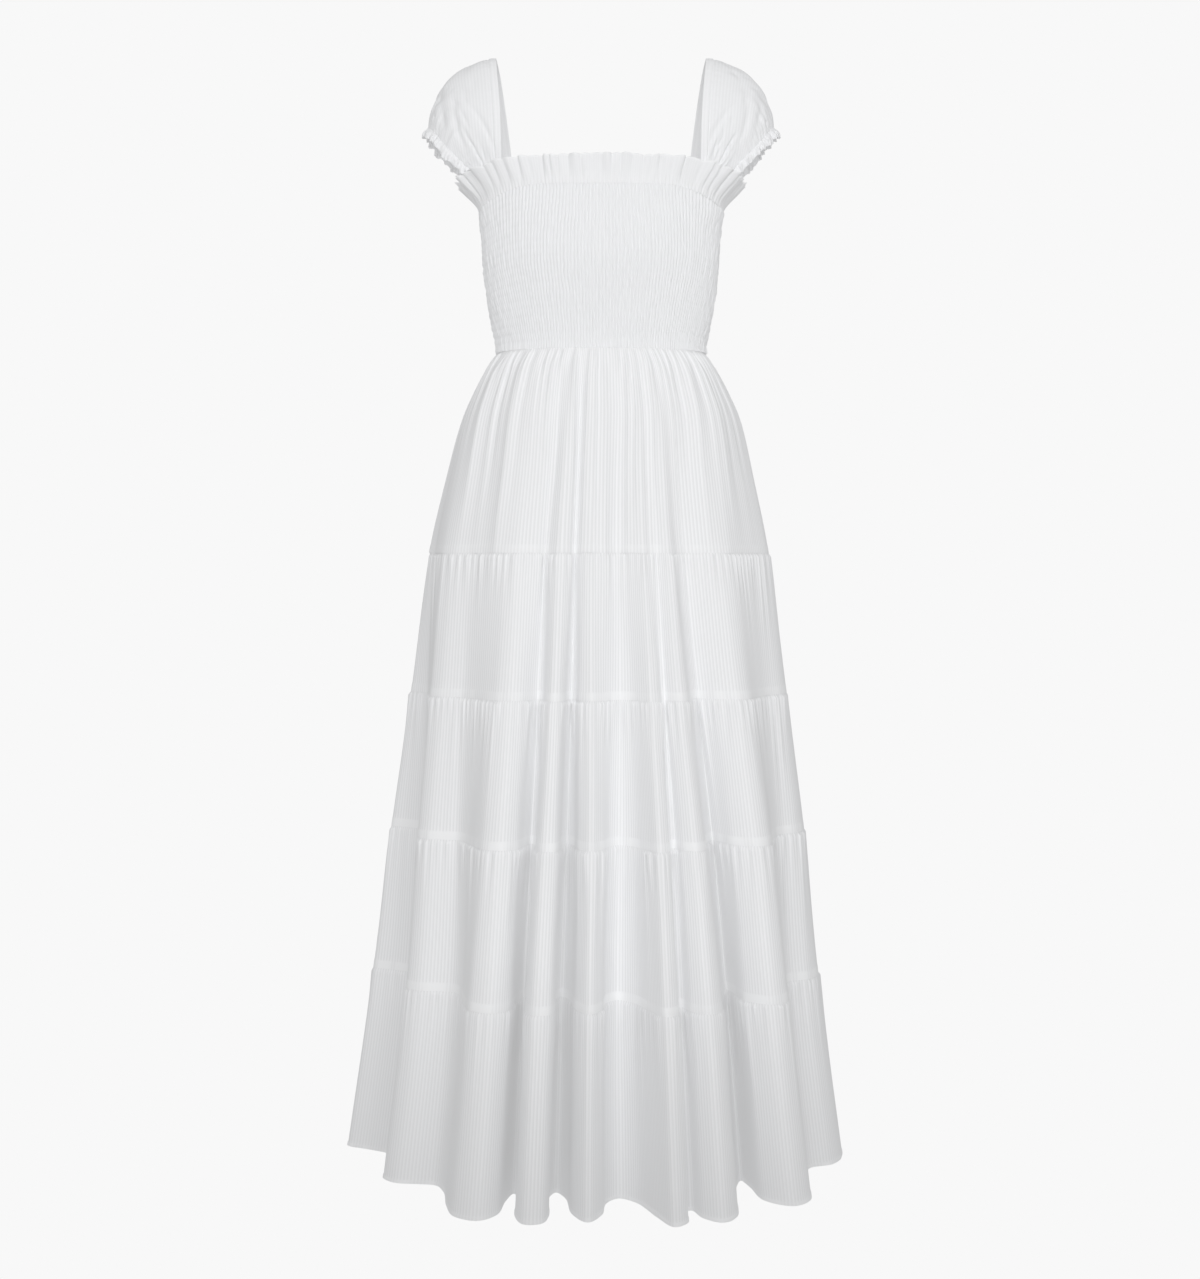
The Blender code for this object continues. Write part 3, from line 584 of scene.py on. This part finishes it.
def bodice_half(side, start, material, draw):
    """Half the shirred tube: flutes drawn in at each elastic row, and wandering between rows."""
    columns = FLUTES_A_HALF * FLUTE_STEPS
    rows = ELASTIC_ROWS * ROW_STEPS
    angles = np.linspace(start, start + 180.0, 2001)
    chest_z = np.full_like(angles, CHEST_Z)
    chest = lengths(around(angles, chest_z, plain_radius(angles, chest_z)))
    angles = np.interp(np.linspace(0.0, chest[-1], columns + 1), chest, angles)
    chest = np.linspace(0.0, chest[-1], columns + 1)
    level = np.linspace(0.0, ELASTIC_ROWS, rows + 1)
    top = neck_edge_z(angles)[None, :]
    z = top + (WAIST_Z - SEAM_LAP - top) * (level / ELASTIC_ROWS)[:, None]
    radius = plain_radius(angles[None, :], z)
    grid = around(angles[None, :], z, radius)

    from_side = np.minimum(chest, chest[-1] - chest)
    near_side = np.exp(-(from_side / SIDE_SPREAD) ** 2)
    turns = np.cumsum(1.0 / (1.0 + 0.8 * near_side))
    turns_a_metre = FLUTES_A_HALF * (turns[-1] - turns[0]) / (columns * chest[-1])
    turns *= FLUTES_A_HALF / columns
    shifts = np.array([wander(chest, draw, 0.45) for _ in range(ELASTIC_ROWS + 1)])
    low = np.minimum(level.astype(int), ELASTIC_ROWS - 1)
    part = (level - low)[:, None]
    phase = shifts[low] * (1.0 - part) + shifts[low + 1] * part
    inward = np.where(chest < chest[-1] / 2.0, 1.0, -1.0)
    lean = FLUTE_LEAN * inward * np.exp(-(from_side / LEAN_SPREAD) ** 2)
    flowed = turns[None, :] - turns_a_metre * lean[None, :] * (top - z) + phase / (2.0 * math.pi)
    flute = 0.5 + 0.5 * np.cos(2.0 * math.pi * flowed)
    nearest = np.rint(flowed).astype(int)
    uneven = draw.uniform(*FLUTE_SIZES, (ELASTIC_ROWS + 1, 2 * FLUTES_A_HALF))
    puff = np.sin(math.pi * part) ** 0.8
    size = uneven[low[:, None], nearest] * (1.0 - part) + uneven[low[:, None] + 1, nearest] * part
    relief = flute ** 1.2 * (0.80 + 0.20 * puff) * size + 0.04 * puff
    at_sides = smooth(from_side / 0.004)
    relief = FLUTE_MEAN + (relief - FLUTE_MEAN) * at_sides
    depth = FLUTE_RELIEF * (1.0 + SIDE_DEEPER * near_side)
    grid += outward(grid) * (relief * depth[None, :])[..., None]
    down = (level / ELASTIC_ROWS * 0.2)[:, None]
    piece = cloth(f"bodice_{side}_cloth", f"bodice_{side}", grid, material, chest[None, :] * 1.5, -down)
    return piece


def neck_ruffle_half(side, start, material, draw):
    """The frill above the top elastic row: tight at its root, rounded pillars to its wavy top."""
    columns = RUFFLE_WAVES_A_HALF * 14
    angles = np.linspace(start, start + 180.0, 2001)
    root_z = neck_edge_z(angles)
    run = lengths(around(angles, root_z, plain_radius(angles, root_z)))
    angles = np.interp(np.linspace(0.0, run[-1], columns + 1), run, angles)
    run = np.linspace(0.0, run[-1], columns + 1)
    root_z = neck_edge_z(angles)
    height = np.linspace(1.0, 0.0, 30)[:, None] ** 1.15
    off_middle = np.abs((angles + 90.0) % 180.0 - 90.0)
    lean = read(RUFFLE_LEAN, "angle", off_middle, "out")

    pitch = run[-1] / RUFFLE_WAVES_A_HALF
    turn = math.pi * run / pitch + wander(run, draw, 0.85)
    pillar = np.abs(np.sin(turn)) ** 0.62
    corner = smooth((off_middle - 44.0) / 16.0)
    uneven = (0.72 + 0.34 * np.sin(wander(run, draw, 1.3))) * (1.0 + 0.95 * corner)
    lift = RUFFLE_WAVE * (0.10 + 0.90 * smooth(height * 1.25)) * pillar[None, :] * uneven[None, :]
    flutes = 0.5 + 0.5 * np.sin(2.0 * math.pi * run / FLUTE_PITCH + wander(run, draw, 0.9))
    lift += 0.0013 * flutes[None, :] * np.exp(-(height * RUFFLE_HEIGHT / RUFFLE_ROOT_FADE) ** 2)
    sway = 0.0022 * np.sin(2.0 * math.pi * run / (pitch * 2.4) + 0.6)[None, :] * height ** 2
    at_sides = smooth(np.minimum(run, run[-1] - run) / 0.004)
    out = (lift + sway) * at_sides + lean[None, :] * (0.25 * height + 0.75 * height ** 2)
    scallop = 0.0016 * (pillar - 0.6) + 0.0012 * np.sin(wander(run, draw, 1.0))
    rise = RUFFLE_HEIGHT * (0.92 + 0.08 * corner) + SEAM_LAP + scallop * at_sides
    z = root_z[None, :] - SEAM_LAP + height * rise[None, :]
    radius = plain_radius(angles, root_z)[None, :] + out + 0.0004
    grid = around(angles[None, :], z, radius)
    shift = read(SECTIONS, "z", root_z, "shift")
    grid[..., 0] += shift[None, :] - read(SECTIONS, "z", z, "shift")
    hem = smooth((RUFFLE_HEM - (1.0 - height) * RUFFLE_HEIGHT) / HEM_FADE)
    piece = cloth(f"neck_ruffle_{side}_cloth", f"neck_ruffle_{side}", grid, material,
                  run[None, :] * 1.6, height * RUFFLE_HEIGHT, band=0.5 * hem, thickness=CLOTH_EDGE)
    return piece


def cap_column(t, column):
    """One column of the sleeve's table, read along a smooth curve."""
    keys = np.linspace(0.0, 1.0, len(SLEEVE_CAPS))
    return hermite(keys, [getattr(cap, column) for cap in SLEEVE_CAPS], t)


def cap_points(t, across):
    """The free sleeve: t from front to back, across from the neck edge to the arm edge."""
    inner = np.stack([cap_column(t, c) for c in ("inner_x", "inner_y", "inner_z")], axis=-1)
    outer = np.stack([cap_column(t, c) for c in ("outer_x", "outer_y", "outer_z")], axis=-1)
    puff = cap_column(t, "puff")[:, None, None]
    turn = across * math.pi / 2
    sine = np.sin(turn)[None, :]
    cosine = np.cos(turn)[None, :]
    rounded = np.stack([
        inner[:, None, 0] + (outer - inner)[:, None, 0] * sine,
        outer[:, None, 1] + (inner - outer)[:, None, 1] * cosine,
        outer[:, None, 2] + (inner - outer)[:, None, 2] * cosine,
    ], axis=-1)
    straight = inner[:, None, :] + (outer - inner)[:, None, :] * across[None, :, None]
    return straight * (1.0 - puff) + rounded * puff


def root_line(root, lift, across):
    """The sleeve's end just inside the bodice, from the neck edge to the arm edge."""
    angle = root[0] + (root[1] - root[0]) * across
    z = neck_edge_z(angle) + lift
    return around(angle, z, plain_radius(angle, z) - SLEEVE_INSET)


def sleeve_grid():
    """The right sleeve's surface, smoothed where it leaves the bodice."""
    across = np.linspace(0.0, 1.0, SLEEVE_STRIPS + 1)
    keys = [0.0, 0.030]
    rows = [root_line(SLEEVE_FRONT_ROOT, -SLEEVE_ROOT_DEPTH, across),
            root_line(SLEEVE_FRONT_ROOT, SLEEVE_ROOT_DEPTH / 2, across)]
    free = np.linspace(0.0, 1.0, 27)
    caps = cap_points(free, across)
    for t, ring in zip(free, caps):
        keys.append(0.075 + 0.85 * t)
        rows.append(ring)
    keys += [0.970, 1.0]
    rows += [root_line(SLEEVE_BACK_ROOT, SLEEVE_ROOT_DEPTH / 2, across),
             root_line(SLEEVE_BACK_ROOT, -SLEEVE_ROOT_DEPTH, across)]
    stack = np.array(rows)
    at = np.linspace(0.0, 1.0, SLEEVE_STATIONS + 1)
    grid = np.empty((len(at), len(across), 3))
    for k in range(len(across)):
        for axis in range(3):
            grid[:, k, axis] = hermite(keys, stack[:, k, axis], at)
    return grid, at


def sleeve_relief(grid, at, draw):
    """Gathers that fan up from both roots, puckers at the elastic, the casing, dents and crinkles."""
    mid = grid[:, SLEEVE_STRIPS // 2]
    along = lengths(mid)[:, None]
    whole = along[-1, 0]
    steps = np.linalg.norm(np.diff(grid, axis=1), axis=2)
    across = np.concatenate((np.zeros((len(at), 1)), np.cumsum(steps, axis=1)), axis=1)
    width = across[:, -1:]
    from_edge = width - across
    share = across / width
    relief = np.zeros_like(across)
    for end in (along, whole - along):
        shifts = draw.uniform(-PUCKER_SHIFT, PUCKER_SHIFT, ROOT_GATHERS)
        places = (np.arange(ROOT_GATHERS) + 0.5 + shifts) / ROOT_GATHERS
        for place in places:
            fall = np.exp(-(np.maximum(end - 0.012, 0.0) / draw.uniform(*ROOT_REACH)) ** 1.3)
            relief += draw.uniform(*ROOT_RISE) * fall * np.exp(-((share - place) / 0.032) ** 2)
    for n in range(int(whole / ELASTIC_PITCH)):
        place = (n + 0.5 + draw.uniform(-PUCKER_SHIFT, PUCKER_SHIFT)) * ELASTIC_PITCH
        fade = np.exp(-(from_edge / draw.uniform(*ELASTIC_REACH)) ** 1.2)
        slant = draw.uniform(-ELASTIC_SLANT, ELASTIC_SLANT)
        spread = 0.0026 * (1.0 + from_edge / 0.03)
        off = (along - place - slant * from_edge) / spread
        relief += draw.uniform(*ELASTIC_RISE) * fade * np.exp(-off ** 2)
    casing = smooth((CASING_WIDTH - across) / 0.0012)
    relief += 0.0009 * casing
    relief -= 0.0010 * np.exp(-((across - 0.0100) / 0.0009) ** 2)
    for n in range(int(whole / CASING_PITCH)):
        place = (n + 0.5 + draw.uniform(-PUCKER_SHIFT, PUCKER_SHIFT)) * CASING_PITCH
        relief += 0.0005 * np.exp(-((along - place) / 0.0016) ** 2) * smooth((0.030 - across) / 0.020)
    for dent in SLEEVE_DENTS:
        off = (at[:, None] - dent.t) / dent.length
        side = (share - dent.share - dent.slant * (at[:, None] - dent.t)) / dent.width
        relief -= dent.depth * np.exp(-off ** 2 - side ** 2)
    for _ in range(SLEEVE_CRINKLES):
        t, s = draw.uniform(0.11, 0.89), draw.uniform(0.18, 0.96)
        length, wide = draw.uniform(0.012, 0.034), draw.uniform(0.020, 0.045)
        off = (at[:, None] - t) / length
        side = (share - s - draw.uniform(-2.0, 2.0) * (at[:, None] - t)) / wide
        relief -= draw.uniform(*CRINKLE_DEPTH) * np.exp(-off ** 2 - side ** 2)
    relief *= smooth(np.minimum(along, whole - along) / 0.016)
    return relief, across, along, casing


def place_side(grid, side):
    """The left sleeve mirrors the right one. Its columns are turned so its outside stays outside."""
    if side == "right":
        return grid[:, ::-1].copy()
    flipped = grid.copy()
    flipped[..., 0] *= -1.0
    return flipped


def sleeve(side, material, frill_material, draw):
    """A puffed cap sleeve with its casing, and the frill outside its elastic edge."""
    grid, at = sleeve_grid()
    relief, across, along, casing = sleeve_relief(grid, at, draw)
    normal = -outward(grid)
    grid = grid + normal * relief[..., None]
    order = slice(None, None, -1) if side == "right" else slice(None)
    piece = cloth(f"sleeve_{side}_cloth", f"sleeve_{side}", place_side(grid, side), material,
                  across[:, order], along, band=0.35 * casing[:, order], thickness=CLOTH_EDGE)

    first, last = (np.searchsorted(at, end) for end in FRILL_SPAN)
    base = grid[first:last + 1, -1]
    frill(side, base, frill_material, draw)
    return piece


def frill(side, base, material, draw):
    """The narrow frill: small uneven flutes that turn out and down from the elastic."""
    columns = FRILL_WAVES * 16
    run = lengths(base)
    at = np.linspace(0.0, run[-1], columns + 1)
    edge = np.stack([np.interp(at, run, base[:, axis]) for axis in range(3)], axis=-1)
    away = edge - np.array([0.06, 0.0, 0.0])
    away[:, 2] = 0.0
    away /= np.linalg.norm(away, axis=1, keepdims=True)
    height = np.linspace(0.0, 1.0, 14)[:, None]
    pitch = run[-1] / FRILL_WAVES
    turn = math.pi * at / pitch + wander(at, draw, 0.70)
    flute = np.abs(np.sin(turn)) ** 0.8
    ends = smooth(np.minimum(at, run[-1] - at) / 0.010)
    size = FRILL_WIDTH * (0.55 + 0.45 * ends) * (1.0 + 0.12 * np.sin(wander(at, draw, 1.0)))
    lift = FRILL_WAVE * smooth(height * 1.8) * (flute - 0.35)[None, :] * ends
    reach = FRILL_OUT * np.sin(0.50 * math.pi * height)
    side_sway = FRILL_SWAY * height ** 2 * np.sin(2.0 * turn)[None, :]
    along = np.gradient(edge, axis=0)
    along /= np.linalg.norm(along, axis=1, keepdims=True)
    face = np.cross(away * 0.4 - np.array([0.0, 0.0, 0.9]), along)
    face /= np.linalg.norm(face, axis=1, keepdims=True)
    grid = edge[None, :, :] - np.array([0.0, 0.0, SEAM_LAP * -0.5])
    grid = grid + away[None] * (reach * size[None, :])[..., None] + face[None] * lift[..., None]
    grid[..., 2] -= FRILL_DOWN * height * size[None, :] * (1.0 + FRILL_SCALLOP * (flute - 0.5)[None, :])
    grid = grid + along[None] * side_sway[..., None]
    across = at[None, :] * 1.5
    if side == "left":
        grid[..., 0] *= -1.0
        grid = grid[:, ::-1]
    hem = smooth((height - 0.86) / 0.05)
    piece = cloth(f"sleeve_ruffle_{side}_cloth", f"sleeve_ruffle_{side}", grid, material,
                  across, -height * FRILL_WIDTH, band=0.2 * hem, thickness=CLOTH_EDGE)
    return piece


def build_dress():
    """Every piece, each half and each sleeve with its own seed for the random draws."""
    # The one white cotton gets a different base tone on each piece, set to even out how the studio light
    # falls. The skirt's tone is lightest, to lift its shaded lower tiers and fold valleys. The shirred
    # bodice's tone is darkest, against the strong light high on the body. The sleeves', neck ruffle's and
    # frill's tones lie between; the frill's is raised to lift the shade under it. These differences in
    # tone are painted light and shade.
    striped = cotton("striped_cotton_cloth", (0.942, 0.949, 0.964), 0.150, 0.30)
    capped = cotton("sleeve_cotton_cloth", (0.900, 0.907, 0.923), 0.070, 0.25)
    shirred = cotton("shirred_cotton_cloth", (0.848, 0.856, 0.873), 0.020, 0.20)
    ruffled = cotton("ruffle_cotton_cloth", (0.895, 0.902, 0.918), 0.030, 0.20)
    frilled = cotton("frill_cotton_cloth", (0.895, 0.902, 0.918), 0.040, 0.20)
    for side, start, seed in (("front", -90.0, 11), ("back", 90.0, 47)):
        draw = np.random.default_rng(seed)
        bodice_half(side, start, shirred, draw)
        neck_ruffle_half(side, start, ruffled, draw)
        for number in range(1, len(SKIRT_SEAMS)):
            tier_half(number, side, start, striped, draw)
    for side, seed in (("right", 5), ("left", 23)):
        sleeve(side, capped, frilled, np.random.default_rng(seed))


# The studio and the camera: sizes and places in metres, the lens in millimetres.
BACKDROP_TONE = (1.0, 1.0, 1.0, 1.0)
WORLD_COLOUR = (0.97, 0.985, 1.0, 1.0)
WORLD_STRENGTH = 0.25
BACKDROP_GLOW = 0.903
SHADOW_LIFT = 0.37
FLAG_TOP = -0.740
FLAG_SIZE = (5.0, 0.9, 1.0)
FLOOR_Z = -1.56
CAMERA_DISTANCE = 2.70
EYE_Z = -0.616
CAMERA_SIDE = -0.00125
HORIZON_SHIFT = -0.0676
LENS = 60.8


def glow_material(name, tone):
    """An even glowing tone for the floor and the backdrop; the cards use it with its glow off."""
    material = bpy.data.materials.new(name)
    material.use_nodes = True
    tree = material.node_tree
    shader = tree.nodes["Principled BSDF"]
    shader.inputs["Base Color"].default_value = (0.0, 0.0, 0.0, 1.0)
    shader.inputs["Specular IOR Level"].default_value = 0.0
    shader.inputs["Roughness"].default_value = 1.0
    shader.inputs["Emission Color"].default_value = tone
    shader.inputs["Emission Strength"].default_value = BACKDROP_GLOW
    return material


def only_seen(piece):
    """The piece shows to the camera and takes no part in the light."""
    piece.visible_diffuse = False
    piece.visible_glossy = False
    piece.visible_transmission = False
    piece.visible_shadow = False


def build_studio():
    """A glowing floor and backdrop, the light, and the tone curve that lifts the shadows."""
    bpy.ops.mesh.primitive_circle_add(vertices=96, radius=7.0, fill_type="NGON",
                                      location=(0.0, 0.0, FLOOR_Z))
    floor = bpy.context.object
    floor.name = "floor"
    floor.data.materials.append(glow_material("pale_floor", BACKDROP_TONE))
    bpy.ops.mesh.primitive_uv_sphere_add(segments=48, ring_count=24, radius=9.0)
    backdrop = bpy.context.object
    backdrop.name = "backdrop"
    backdrop.data.materials.append(glow_material("pale_backdrop", BACKDROP_TONE))
    only_seen(floor)
    only_seen(backdrop)

    scene = bpy.context.scene
    world = bpy.data.worlds.new("studio")
    world.use_nodes = True
    background = world.node_tree.nodes["Background"]
    background.inputs["Color"].default_value = WORLD_COLOUR
    background.inputs["Strength"].default_value = WORLD_STRENGTH
    scene.world = world
    scene.view_settings.view_transform = "Standard"
    scene.view_settings.look = "None"
    scene.view_settings.use_curve_mapping = True
    tone = scene.view_settings.curve_mapping
    tone.black_level = (-SHADOW_LIFT / (1.0 - SHADOW_LIFT),) * 3
    tone.update()

    add_softbox("key", (0.05, -3.1, 0.15), (0.0, 0.0, -0.45), (2.4, 0.9), 62.0)
    add_softbox("left", (-2.4, -1.9, 0.5), (0.0, 0.0, -0.6), (1.6, 1.6), 2.0)
    add_softbox("right", (2.4, -2.1, 0.5), (0.0, 0.0, -0.6), (1.6, 1.6), 6.5)
    add_softbox("back_fill", (0.0, 3.4, 0.8), (0.0, 0.0, -0.5), (2.6, 1.4), 60.0)
    add_flag("front_flag", -1.5)
    add_flag("back_flag", 1.5)


def add_softbox(name, place, target, size, power):
    """A soft rectangular lamp at a place, aimed at a target."""
    light = bpy.data.lights.new(name, "AREA")
    light.shape = "RECTANGLE"
    light.size, light.size_y = size
    light.energy = power
    lamp = bpy.data.objects.new(name, light)
    lamp.location = place
    aim = [t - p for t, p in zip(target, place)]
    lamp.rotation_euler = Vector(aim).to_track_quat("-Z", "Y").to_euler()
    bpy.context.scene.collection.objects.link(lamp)


def add_flag(name, y):
    """A dark card, unseen, that takes some light off the hem."""
    bpy.ops.mesh.primitive_plane_add(size=1.0, rotation=(math.radians(90.0), 0.0, 0.0),
                                     location=(0.0, y, FLAG_TOP - FLAG_SIZE[1] / 2.0))
    card = bpy.context.object
    card.name = name
    card.scale = FLAG_SIZE
    black = glow_material("dark_card", BACKDROP_TONE)
    black.node_tree.nodes["Principled BSDF"].inputs["Emission Strength"].default_value = 0.0
    card.data.materials.append(black)
    card.visible_camera = False


def build_camera():
    """The photo's own view: a level camera at the first tier's seam, shifted to frame the dress."""
    view = bpy.data.cameras.new("camera")
    view.lens = LENS
    view.sensor_width = 36.0
    camera = bpy.data.objects.new("camera", view)
    camera.location = (CAMERA_SIDE, -CAMERA_DISTANCE, EYE_Z)
    camera.rotation_euler = (math.radians(90.0), 0.0, 0.0)
    view.shift_y = HORIZON_SHIFT
    bpy.context.scene.collection.objects.link(camera)
    bpy.context.scene.camera = camera


build_dress()
build_studio()
build_camera()
